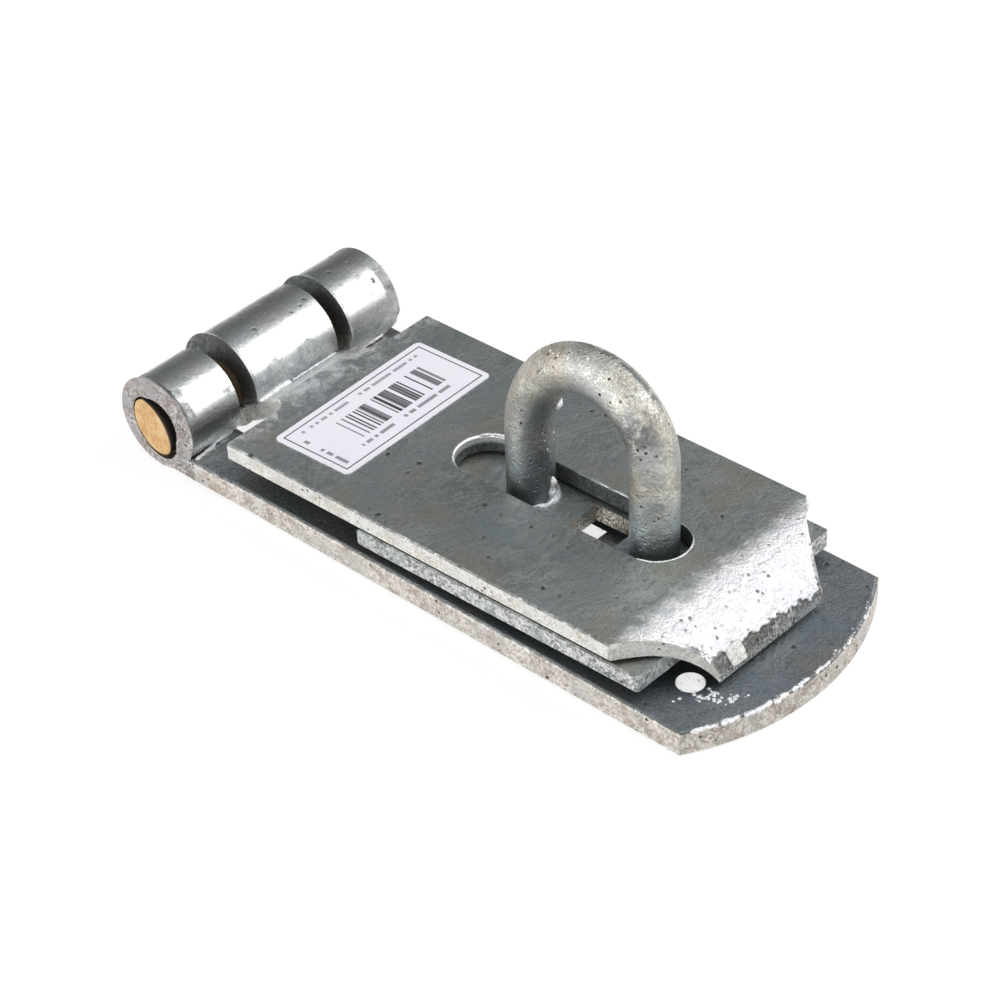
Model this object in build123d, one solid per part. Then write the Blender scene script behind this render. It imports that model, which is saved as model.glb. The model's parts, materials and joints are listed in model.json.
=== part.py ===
from build123d import *
import os
from math import asin, atan2, cos, degrees, hypot, radians, sin, tan

# Heavy hot-dip galvanised hasp and staple with a brass hinge pin, folded shut as it is sold.
# The hasp lies over its own hinge leaf, and the loose staple plate lies between the two.
# Sizes are in millimetres. X runs along the leaf from the hinge to its rounded end, Y across it
# and Z up from its back. Until the last step, X and the hasp's heights are measured from the pin.

# Hinge pin: a brass rod whose ends are upset into ovals, low in the wider mouths of their eyes
pin_radius = 5.2
pin_clearance = 0.05
pin_end_spread = 0.4
pin_end_squash = 0.98
pin_end_turn = 124.0
pin_end_length = 2.5
pin_end_shift = (-1.13, -1.17)
pin_end_bevel = 0.2
mouth_clearance = 0.7
mouth_shift = (-0.52, -0.97)
mouth_spare_depth = 0.1

# Hinge leaf: one flat bar, its end curled over into two knuckles
leaf_width = 52.5
leaf_thickness = 4.8
leaf_side_length = 120.5
leaf_end_bulge = 7.8
leaf_flare = 0.6
leaf_flare_start = 24.0
leaf_flare_end = 6.0
leaf_edge_round = 0.7
leaf_back_bevel = 0.3
leaf_eye_wall = 3.45
leaf_eye_shift_x = 0.25
leaf_eye_shift_z = 0.5
leaf_eye_lift = 0.9
leaf_rise_start = 26.5
back_eye_grow = 0.3
back_eye_shift = 0.25
tip_nick_length = 3.0
tip_nick_height = 2.2
rim_length = 0.9
rim_flare = 0.4
leaf_bolt_radius = 2.5
leaf_bolt_near = 32.0
leaf_bolt_end_margin = 6.7
bolt_row_half = 15.4
leaf_square_hole = 10.5
leaf_square_x = 72.5

# Hasp: a thinner bar with one middle knuckle, a cranked neck, a slot and a drawn-down lip
hasp_width = 51.6
hasp_thickness = 3.4
hasp_knuckle_width = 21.3
hasp_eye_wall = 3.75
hasp_eye_rise = 0.9
hasp_crank_angle = 30.5
hasp_crank_round = 3.0
hasp_shoulder_clearance = 8.05
hasp_shoulder_round = 3.0
hasp_length = 118.2
lip_run = 11.7
lip_top_radius = 13.0
lip_back_run = 10.2
lip_back_radius = 12.0
lip_width = 26.8
hasp_edge_bevel = 0.3
hasp_corner_round = 0.6
scallop_run = 13.0
scallop_depth = 1.0
slot_lead = 10.9
slot_side_clearance = 1.6
slot_edge_round = 0.5
swing_clearance = 0.25
knuckle_gap = 3.5
knuckle_drift = -0.45
notch_clearance = 1.6
notch_corner_round = 0.8
seam_gap = 0.3

# Staple plate and staple, resting on the leaf under the hasp
fold_tilt = 1.4
fold_gap = 0.7
middle_drift = 0.45
plate_start = 47.8
plate_lap = 2.8
plate_inset = 0.6
plate_drift = -0.3
plate_thickness = 3.35
plate_corner_round = 0.9
plate_edge_bevel = 0.3
plate_end_round = 1.2
plate_bolt_radius = 2.5
plate_bolt_margin = 9.1
plate_square_hole = 10.0
plate_square_shift = 2.2
staple_bar_radius = 4.3
staple_pitch = 27.75
staple_near_x = 64.65
staple_drift = 1.0
staple_top = 46.0
staple_top_flat = 0.5
staple_far_bend = 12.5
staple_wide_bend = 20.7
staple_wide_turn = 40.0
staple_clearance = 0.05
staple_head_overhang = 1.6
staple_head_height = 1.8

# Paper label on the hasp
label_length = 17.7
label_width = 37.8
label_thickness = 0.15
label_corner_round = 1.1
label_margin = 5.4
label_y = -0.5
label_turn = 1.4

# What follows from the sizes above
bore_radius = pin_radius + pin_clearance
leaf_eye_radius = bore_radius + leaf_eye_wall
hasp_eye_radius = bore_radius + hasp_eye_wall
pin_height = leaf_eye_lift + leaf_eye_radius - leaf_eye_shift_z
leaf_half = leaf_width / 2
leaf_knuckle_half = leaf_half + leaf_flare
leaf_length = leaf_side_length + leaf_end_bulge
leaf_bolt_far = leaf_side_length - leaf_bolt_end_margin
hasp_half = hasp_width / 2
plate_width = hasp_width - 2 * plate_inset
hasp_shoulder_x = leaf_eye_shift_x + leaf_eye_radius + hasp_shoulder_clearance
lip_top_start = hasp_length - lip_run
lip_back_start = hasp_length - lip_back_run
scallop_start = hasp_length - scallop_run
plate_end = lip_back_start + plate_lap
plate_length = plate_end - plate_start
plate_middle_x = (plate_start + plate_end) / 2
staple_far_x = staple_near_x + staple_pitch
staple_middle_x = staple_near_x + staple_pitch / 2
staple_crown = staple_top - staple_bar_radius
wide_sin, wide_cos = sin(radians(staple_wide_turn)), cos(radians(staple_wide_turn))
near_run = staple_pitch - staple_top_flat - staple_far_bend
staple_near_bend = (near_run - staple_wide_bend * (1 - wide_cos)) / wide_cos
near_drop = staple_wide_bend * wide_sin + staple_near_bend * (1 - wide_sin)
plate_rise = staple_middle_x * tan(radians(fold_tilt))
plate_under = leaf_thickness + staple_head_height - pin_height - plate_rise
plate_top = plate_under + plate_thickness
hasp_under = plate_top + fold_gap
hasp_top = hasp_under + hasp_thickness
slot_half = staple_bar_radius + slot_side_clearance
slot_start = staple_near_x - staple_bar_radius - slot_lead
far_bend_x = staple_far_x - staple_far_bend
far_bend_rise = staple_crown - staple_far_bend - pin_height
swing_reach = hypot(far_bend_x, far_bend_rise) + staple_far_bend + staple_bar_radius
slot_end = swing_reach + swing_clearance
pin_end_long = pin_radius + pin_end_spread
pin_end_short = pin_radius - pin_end_squash
mouth_long = pin_end_long + mouth_clearance
mouth_short = pin_end_short + mouth_clearance
pattern_x = (leaf_bolt_near + leaf_bolt_far) / 2
past = 5.0

# The folded hasp and the staple plate lean back together about the pin's axis
fold = Pos(0, 0, pin_height) * Rot(0, -fold_tilt, 0)


def rim(x, y, z, radius):
    """Flare at the end of a knuckle that faces the front, where the bar was sheared."""
    cone = Cone(radius, radius + rim_flare, rim_length, align=(Align.CENTER, Align.CENTER, Align.MAX))
    return Pos(x, y, z) * Rot(90, 0, 0) * cone


def curled_bar(eye, eye_radius, slope):
    """Side view of the flat bar with a solid eye at its end."""
    touch = (eye[0] - eye_radius * sin(slope), eye[1] - eye_radius * cos(slope))
    side = Pos(*eye) * Circle(eye_radius)
    side += make_face(Polyline((leaf_rise_start, 0), (leaf_length + past, 0),
                               (leaf_length + past, leaf_thickness), (eye[0], leaf_thickness),
                               touch, close=True))
    return side


def hinge_leaf():
    """Flat bar with a rounded end, bolt holes and two knuckles curled over the pin."""
    front_eye = (leaf_eye_shift_x, pin_height + leaf_eye_shift_z)
    # The back leaves the flat at leaf_rise_start and runs on as a tangent to both eyes
    run, rise = leaf_rise_start - front_eye[0], front_eye[1]
    slope = atan2(rise, run) - asin(leaf_eye_radius / hypot(run, rise))
    back_eye = (front_eye[0] + back_eye_grow * sin(slope) - back_eye_shift * cos(slope),
                front_eye[1] + back_eye_grow * cos(slope) + back_eye_shift * sin(slope))
    back_radius = leaf_eye_radius + back_eye_grow
    reach = leaf_knuckle_half + past
    bar = extrude(Plane.XZ * curled_bar(front_eye, leaf_eye_radius, slope), reach)
    bar += extrude(Plane.XZ * curled_bar(back_eye, back_radius, slope), -reach)
    notch_half = hasp_knuckle_width / 2 + knuckle_gap
    bar += rim(front_eye[0], -leaf_knuckle_half, front_eye[1], leaf_eye_radius)
    bar += rim(back_eye[0], knuckle_drift + notch_half, back_eye[1], back_radius)
    bar -= extrude(Plane.XZ * Pos(0, pin_height) * Circle(bore_radius), reach, both=True)
    # The curl's tip comes down to the bar's face and stops just short of it
    seam_length = back_radius + past
    tip_height = leaf_thickness + seam_gap
    bar -= Pos(seam_length / 2, 0, leaf_thickness + seam_gap / 2) * Box(
        seam_length, 2 * reach, seam_gap)
    nick = Polyline((leaf_knuckle_half - tip_nick_length, leaf_thickness),
                    (leaf_knuckle_half - tip_nick_length, tip_height),
                    (leaf_knuckle_half, tip_height + tip_nick_height),
                    (leaf_knuckle_half, leaf_thickness), close=True)
    bar -= extrude(Plane.YZ * make_face(nick), seam_length)
    # The mouths of the eyes are wider than the bore, and oval like the pin's ends
    mouth_depth = pin_end_length + mouth_spare_depth
    mouth = Rot(0, 0, pin_end_turn) * Ellipse(mouth_long, mouth_short)
    mouth = Plane.XZ * Pos(mouth_shift[0], pin_height + mouth_shift[1]) * mouth
    mouth = extrude(mouth, mouth_depth)
    bar -= Pos(0, mouth_depth - leaf_knuckle_half, 0) * mouth
    bar -= Pos(0, leaf_knuckle_half, 0) * mouth

    root = -back_radius - rim_flare - past
    front_flare = Spline((leaf_flare_end, -leaf_knuckle_half), (leaf_flare_start, -leaf_half),
                         tangents=[(1, 0), (1, 0)])
    back_flare = Spline((leaf_flare_start, leaf_half), (leaf_flare_end, leaf_knuckle_half),
                        tangents=[(-1, 0), (-1, 0)])
    outline = [
        front_flare,
        Line((leaf_flare_start, -leaf_half), (leaf_side_length, -leaf_half)),
        ThreePointArc((leaf_side_length, -leaf_half), (leaf_length, 0), (leaf_side_length, leaf_half)),
        Line((leaf_side_length, leaf_half), (leaf_flare_start, leaf_half)),
        back_flare,
        Polyline((leaf_flare_end, leaf_knuckle_half), (root, leaf_knuckle_half),
                 (root, -leaf_knuckle_half), (leaf_flare_end, -leaf_knuckle_half)),
    ]
    headroom = pin_height + back_radius + past
    bar &= extrude(make_face(outline), headroom)

    notch_end = hasp_eye_radius + hasp_eye_rise + notch_clearance
    notch_length = notch_end - root
    notch = Pos((notch_end + root) / 2, knuckle_drift) * Rectangle(notch_length, 2 * notch_half)
    notch = fillet(notch.vertices().sort_by(Axis.X)[-2:], notch_corner_round)
    bar -= extrude(notch, headroom)

    flat_edges = bar.edges().filter_by(lambda e: (e @ 0.5).X > leaf_rise_start)
    bar = fillet(flat_edges.filter_by_position(
        Axis.Z, leaf_thickness - seam_gap / 2, leaf_thickness + seam_gap / 2), leaf_edge_round)
    flat_edges = bar.edges().filter_by(lambda e: (e @ 0.5).X > leaf_rise_start)
    bar = chamfer(flat_edges.filter_by_position(Axis.Z, -seam_gap / 2, seam_gap / 2), leaf_back_bevel)

    holes = [Pos(x, y) * Circle(leaf_bolt_radius)
             for x in (leaf_bolt_near, leaf_bolt_far) for y in (-bolt_row_half, bolt_row_half)]
    holes += [Pos(leaf_square_x, middle_drift) * Rectangle(leaf_square_hole, leaf_square_hole)]
    for hole in holes:
        bar -= extrude(hole, leaf_thickness + past / 2, both=True)
    return bar


def hinge_pin():
    """Brass rod through all three knuckles, its oval ends a little low in their mouths."""
    rod = extrude(Plane.XZ * Circle(pin_radius), leaf_knuckle_half - pin_end_length, both=True)
    end = Plane.XZ * Pos(*pin_end_shift) * Rot(0, 0, pin_end_turn) * Ellipse(pin_end_long, pin_end_short)
    end = extrude(end, pin_end_length)
    front_end = Pos(0, pin_end_length - leaf_knuckle_half, 0) * end
    front_end = chamfer(front_end.edges().sort_by(Axis.Y)[0], pin_end_bevel)
    back_end = Pos(0, leaf_knuckle_half, 0) * end
    back_end = chamfer(back_end.edges().sort_by(Axis.Y)[-1], pin_end_bevel)
    return Pos(0, 0, pin_height) * (rod + front_end + back_end)


def hasp_leaf():
    """Cranked strap with a middle knuckle, a slot for the staple and a drawn-down lip."""
    down = (sin(radians(hasp_crank_angle)), -cos(radians(hasp_crank_angle)))
    along = (cos(radians(hasp_crank_angle)), sin(radians(hasp_crank_angle)))
    # Crank: its lower face is tangent to the eye, and its upper face is one thickness above
    low = (hasp_eye_radius * down[0], hasp_eye_rise + hasp_eye_radius * down[1])
    high = (low[0] - hasp_thickness * down[0], low[1] - hasp_thickness * down[1])
    low_bend = low[0] + (hasp_under - low[1]) * along[0] / along[1]
    high_bend = high[0] + (hasp_top - high[1]) * along[0] / along[1]
    top_turn = degrees(asin(lip_run / lip_top_radius))
    back_turn = degrees(asin(lip_back_run / lip_back_radius))
    top_arc = JernArc((lip_top_start, hasp_top), (1, 0), lip_top_radius, -top_turn)
    back_arc = JernArc((lip_back_start, hasp_under), (1, 0), lip_back_radius, -back_turn)
    strap = [
        Polyline((lip_back_start, hasp_under), (low_bend, hasp_under), low, high,
                 (high_bend, hasp_top), (lip_top_start, hasp_top)),
        top_arc,
        Line(top_arc @ 1, back_arc @ 1),
        back_arc,
    ]
    strap = make_face(strap)
    bends = strap.vertices().filter_by(
        lambda v: hypot(v.X - low_bend, v.Y - hasp_under) < seam_gap
        or hypot(v.X - high_bend, v.Y - hasp_top) < seam_gap)
    strap = fillet(bends, hasp_crank_round)
    side = strap + Pos(0, hasp_eye_rise) * Circle(hasp_eye_radius)
    bar = extrude(Plane.XZ * side, hasp_half + past, both=True)
    neck_half = hasp_knuckle_width / 2
    bar += rim(0, -neck_half, hasp_eye_rise, hasp_eye_radius)
    bar -= extrude(Plane.XZ * Circle(bore_radius), hasp_half + past, both=True)
    # The curl's tip stops just short of the crank's upper face
    seam_length = hasp_eye_radius + past
    seam = Pos(seam_length / 2, seam_gap / 2) * Rectangle(seam_length, seam_gap)
    seam = Plane.XZ * Pos(*high) * Rot(0, 0, hasp_crank_angle) * seam
    bar -= extrude(seam, hasp_half + past, both=True)

    root = -hasp_eye_radius - rim_flare - past
    lip_half = lip_width / 2
    tip = hasp_length + past
    corners = [(root, -neck_half), (hasp_shoulder_x, -neck_half), (hasp_shoulder_x, -hasp_half),
               (scallop_start, -hasp_half)]
    mirrored = [(x, -y) for x, y in reversed(corners)]
    outline = [
        Polyline(*corners),
        SagittaArc((scallop_start, -hasp_half), (hasp_length, -lip_half), scallop_depth),
        Polyline((hasp_length, -lip_half), (tip, -lip_half), (tip, lip_half), (hasp_length, lip_half)),
        SagittaArc((hasp_length, lip_half), (scallop_start, hasp_half), scallop_depth),
        Polyline(*mirrored),
        Line((root, neck_half), (root, -neck_half)),
    ]
    plan = make_face(outline)
    inner = plan.vertices().filter_by(
        lambda v: hypot(v.X - hasp_shoulder_x, abs(v.Y) - neck_half) < seam_gap)
    plan = fillet(inner, hasp_shoulder_round)
    reach = hasp_eye_radius + hasp_eye_rise + past
    bar &= extrude(plan, reach, both=True)

    slot = SlotOverall(slot_end - slot_start, 2 * slot_half)
    bar -= extrude(Pos((slot_start + slot_end) / 2, middle_drift) * slot, reach, both=True)
    # The slot is punched from above, which rolls its upper edge over
    top_edges = bar.edges().filter_by_position(
        Axis.Z, hasp_top - seam_gap / 2, hasp_top + seam_gap / 2)
    rim_edges = top_edges.filter_by(
        lambda e: abs((e @ 0.5).Y - middle_drift) < slot_half + seam_gap
        and slot_start - seam_gap < (e @ 0.5).X < slot_end + seam_gap)
    bar = fillet(rim_edges, slot_edge_round)

    corners = bar.edges().filter_by(Axis.Z).filter_by(
        lambda e: hypot((e @ 0.5).X - hasp_shoulder_x, abs((e @ 0.5).Y) - hasp_half) < seam_gap)
    bar = fillet(corners, hasp_corner_round)
    # The arrises of the flat part are worn off, as far as the lip's shoulders
    outlines = []
    for height in (hasp_top, hasp_under):
        flats = bar.faces().filter_by(Axis.Z).filter_by_position(
            Axis.Z, height - seam_gap / 2, height + seam_gap / 2)
        outlines += flats[0].outer_wire().edges().filter_by(
            lambda e: abs((e @ 0.5).Y) > neck_half and (e @ 0.5).X < scallop_start)
    bar = chamfer(outlines, hasp_edge_bevel)
    return fold * bar


def staple_plate():
    """Flat plate with four bolt holes, a square hole and two holes for the staple's legs."""
    side = Rectangle(plate_length, plate_thickness)
    side = fillet(side.vertices().sort_by(Axis.X)[:2], plate_end_round)
    plate = extrude(Plane.XZ * side, plate_width / 2, both=True)
    plate = chamfer(plate.edges().filter_by(Axis.X), plate_edge_bevel)
    plan = RectangleRounded(plate_length, plate_width, plate_corner_round)
    plate &= extrude(plan, plate_thickness, both=True)
    plate = fold * Pos(plate_middle_x, plate_drift, plate_under + plate_thickness / 2) * plate
    holes = [Pos(x, y) * Circle(plate_bolt_radius)
             for x in (plate_start + plate_bolt_margin, plate_end - plate_bolt_margin)
             for y in (-bolt_row_half, bolt_row_half)]
    holes += [Pos(staple_middle_x + plate_square_shift, middle_drift)
              * Rectangle(plate_square_hole, plate_square_hole)]
    holes += [Pos(x, staple_drift) * Circle(staple_bar_radius + staple_clearance)
              for x in (staple_near_x, staple_far_x)]
    for hole in holes:
        plate -= extrude(hole, pin_height + plate_thickness + past)
    return plate


def staple():
    """Bent round bar; its legs pass through the plate and are spread into heads below it."""
    # The near shoulder starts as a wide bend and closes as a tighter one
    wide_bend = JernArc((staple_near_x, staple_crown - near_drop), (0, 1),
                        staple_wide_bend, -staple_wide_turn)
    near_bend = JernArc(wide_bend @ 1, wide_bend % 1, staple_near_bend, staple_wide_turn - 90)
    far_bend = JernArc((far_bend_x, staple_crown), (1, 0), staple_far_bend, -90)
    legs_and_bow = [
        Line((staple_near_x, leaf_thickness), wide_bend @ 0),
        wide_bend,
        near_bend,
        Line(near_bend @ 1, far_bend @ 0),
        far_bend,
        Line(far_bend @ 1, (staple_far_x, leaf_thickness)),
    ]
    path = Plane.XZ * Wire([edge for piece in legs_and_bow for edge in piece.edges()])
    bar = sweep(Pos(staple_near_x, 0, leaf_thickness) * Circle(staple_bar_radius), path=path)
    # The heads reach from the leaf's face up to the sloping underside of the plate
    below = fold * Pos(staple_middle_x, 0, plate_under - past) * Box(
        plate_length, plate_width, 2 * past)
    for x in (staple_near_x, staple_far_x):
        head = extrude(Circle(staple_bar_radius + staple_head_overhang), 2 * past)
        bar += (Pos(x, 0, leaf_thickness) * head) & below
    return Pos(0, staple_drift, 0) * bar


def label():
    """Self-adhesive paper label on the hasp's upper face."""
    label_x = hasp_shoulder_x + label_margin + label_length / 2
    sheet = RectangleRounded(label_length, label_width, label_corner_round)
    sheet = extrude(Pos(label_x, label_y, hasp_top) * Rot(0, 0, label_turn) * sheet, label_thickness)
    return fold * sheet


# The row's origin is the middle of the leaf's four bolt holes, on its back
to_row = Pos(-pattern_x, 0, 0)
nodes = {
    "hinge_leaf": hinge_leaf(),
    "hinge_pin": hinge_pin(),
    "hasp_leaf": hasp_leaf(),
    "staple_plate": staple_plate(),
    "staple": staple(),
    "label": label(),
}
os.makedirs("parts", exist_ok=True)
for name, shape in nodes.items():
    export_step(to_row * shape, f"parts/{name}.step")
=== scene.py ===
# %% [markdown]
# # A galvanised hasp and staple
# This lesson dresses a heavy hasp and staple that was dipped in molten zinc after it was made.
# The solid model comes in as a fixed frame. Everything here is either a better surface for one of
# its nodes or a small piece of zinc that the dipping left behind.

# %% Load the frame
import bpy
import json
import math
import random
from mathutils import Matrix, Vector, noise as land


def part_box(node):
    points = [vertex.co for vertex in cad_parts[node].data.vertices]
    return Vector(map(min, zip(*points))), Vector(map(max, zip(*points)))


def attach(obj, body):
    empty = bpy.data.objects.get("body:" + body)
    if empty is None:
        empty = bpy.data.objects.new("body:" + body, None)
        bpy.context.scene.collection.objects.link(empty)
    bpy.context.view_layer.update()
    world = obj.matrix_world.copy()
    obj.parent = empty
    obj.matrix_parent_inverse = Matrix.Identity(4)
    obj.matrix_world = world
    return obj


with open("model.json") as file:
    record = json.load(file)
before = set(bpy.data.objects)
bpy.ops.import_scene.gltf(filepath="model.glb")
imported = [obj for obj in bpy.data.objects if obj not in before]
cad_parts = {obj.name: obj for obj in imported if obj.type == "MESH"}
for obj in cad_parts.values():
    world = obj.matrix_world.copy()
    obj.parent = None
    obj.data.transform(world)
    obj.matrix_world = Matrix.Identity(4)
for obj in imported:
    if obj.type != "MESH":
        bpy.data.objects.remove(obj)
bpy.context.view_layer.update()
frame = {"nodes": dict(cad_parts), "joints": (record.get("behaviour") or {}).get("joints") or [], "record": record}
MM = 0.001

# %% [markdown]
# ## The places that everything else is measured from
# X runs from the hinge to the rounded end, Y across the strap and Z up from the door. The pin's
# axis is the natural zero for a hinge, so places along the strap are given from it. The strap is
# folded shut but leans a little about the pin, so a second helper gives places on it.

# %% Key places
pin = Vector(frame["joints"][0]["pos_m"])
fold_tilt = math.radians(1.4)
strap_top, plate_top = 3.03, -1.07  # from the pin's axis, square to the strap
leaf_top = 4.8  # from the leaf's back
strap_half, leaf_half, plate_half = 25.8, 26.25, 25.2  # half of each width


def at(x, y, z):
    """A place in metres from millimetres: x from the pin's axis, z from the leaf's back."""
    return Vector((pin.x + x * MM, y * MM, z * MM))


def on_fold(x, y, z):
    """A place on the folded strap, with z counted from the pin and square to the strap."""
    return at(x * math.cos(fold_tilt) - z * math.sin(fold_tilt), y,
              pin.z / MM + x * math.sin(fold_tilt) + z * math.cos(fold_tilt))


print("pin axis at", round(pin.x / MM, 2), round(pin.z / MM, 2), "mm")

# %% [markdown]
# ## The camera
# The photograph was taken from above the front corner, so three sides of each plate show. A long
# lens keeps the far end from shrinking. A Track To constraint would aim the camera but could not
# roll it, so it is given by its place, the two angles it looks along and a small roll, which are
# turned into the three directions of its own axes.

# %% The camera
view_turn, view_height, view_roll = (math.radians(v) for v in (43.30, 37.80, -1.92))
camera_place = at(374.4, -335.6, 363.0)
back = Vector((math.sin(view_turn) * math.cos(view_height),
               -math.cos(view_turn) * math.cos(view_height), math.sin(view_height)))
level = Vector((math.cos(view_turn), math.sin(view_turn), 0))
upright = back.cross(level)
right = level * math.cos(view_roll) + upright * math.sin(view_roll)
up = upright * math.cos(view_roll) - level * math.sin(view_roll)

camera = bpy.data.objects.new("camera", bpy.data.cameras.new("camera"))
bpy.context.scene.collection.objects.link(camera)
bpy.context.scene.camera = camera
camera.data.sensor_width, camera.data.lens = 36, 120.74
camera.data.clip_start, camera.data.clip_end = 0.01, 10
camera.matrix_world = (Matrix.Translation(camera_place)
                       @ Matrix((right, up, back)).transposed().to_4x4())
print("camera at", [round(v, 3) for v in camera.location])

# %% [markdown]
# ## Nodes without typing them out twice
# A material is a small graph. A few helpers keep the recipes readable: one adds a node and fills its
# sockets with either a value or a link, and the others do a sum or a mix.

# %% Helpers for node graphs


def put(tree, kind, sockets=None, **settings):
    """Adds a node; each entry of sockets is a value or another node's output."""
    node = tree.nodes.new(kind)
    for name, value in settings.items():
        setattr(node, name, value)
    for key, value in (sockets or {}).items():
        if isinstance(value, bpy.types.NodeSocket):
            tree.links.new(value, node.inputs[key])
        else:
            node.inputs[key].default_value = value
    return node


def sums(tree, operation, a, b=0.0, c=0.0, clamp=False):
    """One Math node: its answer."""
    return put(tree, "ShaderNodeMath", {0: a, 1: b, 2: c},
               operation=operation, use_clamp=clamp).outputs[0]


def vectors(tree, operation, sockets):
    """One Vector Math node: its answer."""
    return put(tree, "ShaderNodeVectorMath", sockets, operation=operation).outputs[0]


def product(tree, first, *others):
    """Masks or numbers multiplied together."""
    for other in others:
        first = sums(tree, "MULTIPLY", first, other)
    return first


def most(tree, first, *others):
    """The strongest of several masks."""
    for other in others:
        first = sums(tree, "MAXIMUM", first, other)
    return first


def blend(tree, share, first, second):
    """Mixes two colours by a share from 0 to 1."""
    return put(tree, "ShaderNodeMix", {0: share, 6: first, 7: second}, data_type="RGBA").outputs[2]


def between(tree, share, first, second):
    """Mixes two numbers by a share from 0 to 1."""
    return put(tree, "ShaderNodeMix", {0: share, 2: first, 3: second}).outputs[0]


def axes(tree, vector):
    """The X, Y and Z of a vector."""
    return put(tree, "ShaderNodeSeparateXYZ", {0: vector}).outputs


# %% [markdown]
# ### Soft steps and patches
# Nothing on a dipped piece has a ruled border. Masks rise or fall softly between two values, and a
# noise breaks them into patches or lets their border wander.

# %% Helpers for masks


def ramp(tree, value, low, high, start=0.0, end=1.0):
    """Turns low..high into start..end with soft shoulders."""
    return put(tree, "ShaderNodeMapRange", {0: value, 1: low, 2: high, 3: start, 4: end},
               interpolation_type="SMOOTHSTEP").outputs[0]


def fade(tree, value, low, high):
    """1 below low and 0 above high."""
    return ramp(tree, value, low, high, 1.0, 0.0)


def noise(tree, place, size, detail=3.0, rough=0.5, warp=0.0):
    """Cloudy noise whose lumps are about size millimetres."""
    return put(tree, "ShaderNodeTexNoise", {"Vector": place, "Scale": 1.0 / size, "Detail": detail,
                                            "Roughness": rough, "Distortion": warp}).outputs[0]


def patches(tree, place, size, low, high, detail=4, rough=0.65, warp=0.0):
    """1 in the patches where the noise is above high, and 0 where it is below low."""
    return ramp(tree, noise(tree, place, size, detail, rough, warp), low, high)


def wander(tree, value, place, size, reach):
    """A value that goes up and down by half of reach, in lumps of size millimetres."""
    return sums(tree, "ADD", value,
                sums(tree, "MULTIPLY_ADD", noise(tree, place, size, 4, 0.6), reach, -reach / 2))


# %% [markdown]
# ## What hot-dip zinc looks like
# Zinc from a bath is not polished: it freezes in soft clouds of lighter and darker grey with bluish
# and brownish stains, is dragged into wavy streaks when the piece is drained and brushed, and is
# dotted with small pits where ash stuck. Two node groups hold that recipe, with the sizes and
# colours as inputs, so that flat faces, cut edges, the barrel and the staple can each have their own
# mix of it. The first one only makes the patterns. Its streaks run across the strap. They are read
# through a slow swirl, because straight streaks look like brushed steel.

# %% The sockets of the zinc grain


def new_group(name, inputs, outputs):
    """An empty node group with named sockets, what it is given and what it gives back."""
    group = bpy.data.node_groups.new(name, "ShaderNodeTree")
    for socket, kind, value in inputs:
        entry = group.interface.new_socket(name=socket, in_out="INPUT", socket_type=kind)
        if value is not None:
            entry.default_value = value
    for socket, kind in outputs:
        group.interface.new_socket(name=socket, in_out="OUTPUT", socket_type=kind)
    given = group.nodes.new("NodeGroupInput").outputs
    return group, given, group.nodes.new("NodeGroupOutput").inputs


number, tint = "NodeSocketFloat", "NodeSocketColor"
patterns = ("Clouds", "Warm patch", "Cool patch", "Streaks", "Speckle", "Pits")
zinc_grain, given, result = new_group(
    "Zinc grain",
    [("Place", "NodeSocketVector", None), ("Cloud size", number, 9.0), ("Pit gap", number, 2.4)],
    [(pattern, number) for pattern in patterns])
print("zinc grain gives back", len(patterns), "patterns")

# %% Where the patterns are read
g, place = zinc_grain, given["Place"]
cool_offset = (31, 17, 5)  # far enough away that cool stains and warm ones do not match
swirl_size, swirl_reach = 22, 26
streak_scale = (0.8, 0.22, 0.8)  # long along Y
shrink = sums(g, "DIVIDE", 1.0, given["Cloud size"])
shrunk = vectors(g, "SCALE", {0: place, "Scale": shrink})
elsewhere = vectors(g, "ADD", {0: shrunk, 1: cool_offset})
swirl = put(g, "ShaderNodeTexNoise", {"Vector": place, "Scale": 1 / swirl_size, "Detail": 2})
swirl = vectors(g, "SUBTRACT", {0: swirl.outputs["Color"], 1: (0.5, 0.5, 0.5)})
flow = vectors(g, "MULTIPLY_ADD", {0: swirl, 1: [swirl_reach] * 3, 2: place})
drawn = put(g, "ShaderNodeMapping", {"Vector": flow, "Scale": streak_scale}).outputs[0]
print("streaks swirl in lumps of", swirl_size, "mm")

# %% The patterns
pit_spot = put(g, "ShaderNodeTexVoronoi",
               {"Vector": place, "Scale": sums(g, "DIVIDE", 1.0, given["Pit gap"])})
pit_edge = sums(g, "MULTIPLY_ADD", noise(g, place, 0.5, 2, 0.6), 0.4, -0.14)
pit_depth = fade(g, sums(g, "ADD", pit_spot.outputs["Distance"], pit_edge), 0.14, 0.3)
g.links.new(product(g, pit_depth, patches(g, place, 5.0, 0.42, 0.62, 2, 0.6)), result["Pits"])
for pattern, where, size, low, high, detail, rough, warp in (
        ("Clouds", shrunk, 1.0, 0.32, 0.68, 5, 0.62, 0.5),
        ("Warm patch", shrunk, 1.7, 0.47, 0.66, 4, 0.6, 0.3),
        ("Cool patch", elsewhere, 2.1, 0.45, 0.64, 4, 0.6, 0.3),
        ("Streaks", drawn, 1.0, 0.34, 0.66, 5, 0.66, 0.5),
        ("Speckle", place, 0.55, 0.35, 0.65, 4, 0.72, 0.0)):
    g.links.new(patches(g, where, size, low, high, detail, rough, warp), result[pattern])
print("zinc grain has", len(g.nodes), "nodes")

# %% [markdown]
# The second group turns that grain into a finish. The tone adds clouds, streaks and speckle, the
# stains tint it and the pits darken it. The same patterns make the height for the bumps, and the
# relief says how much of that height a mix gets.

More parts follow.
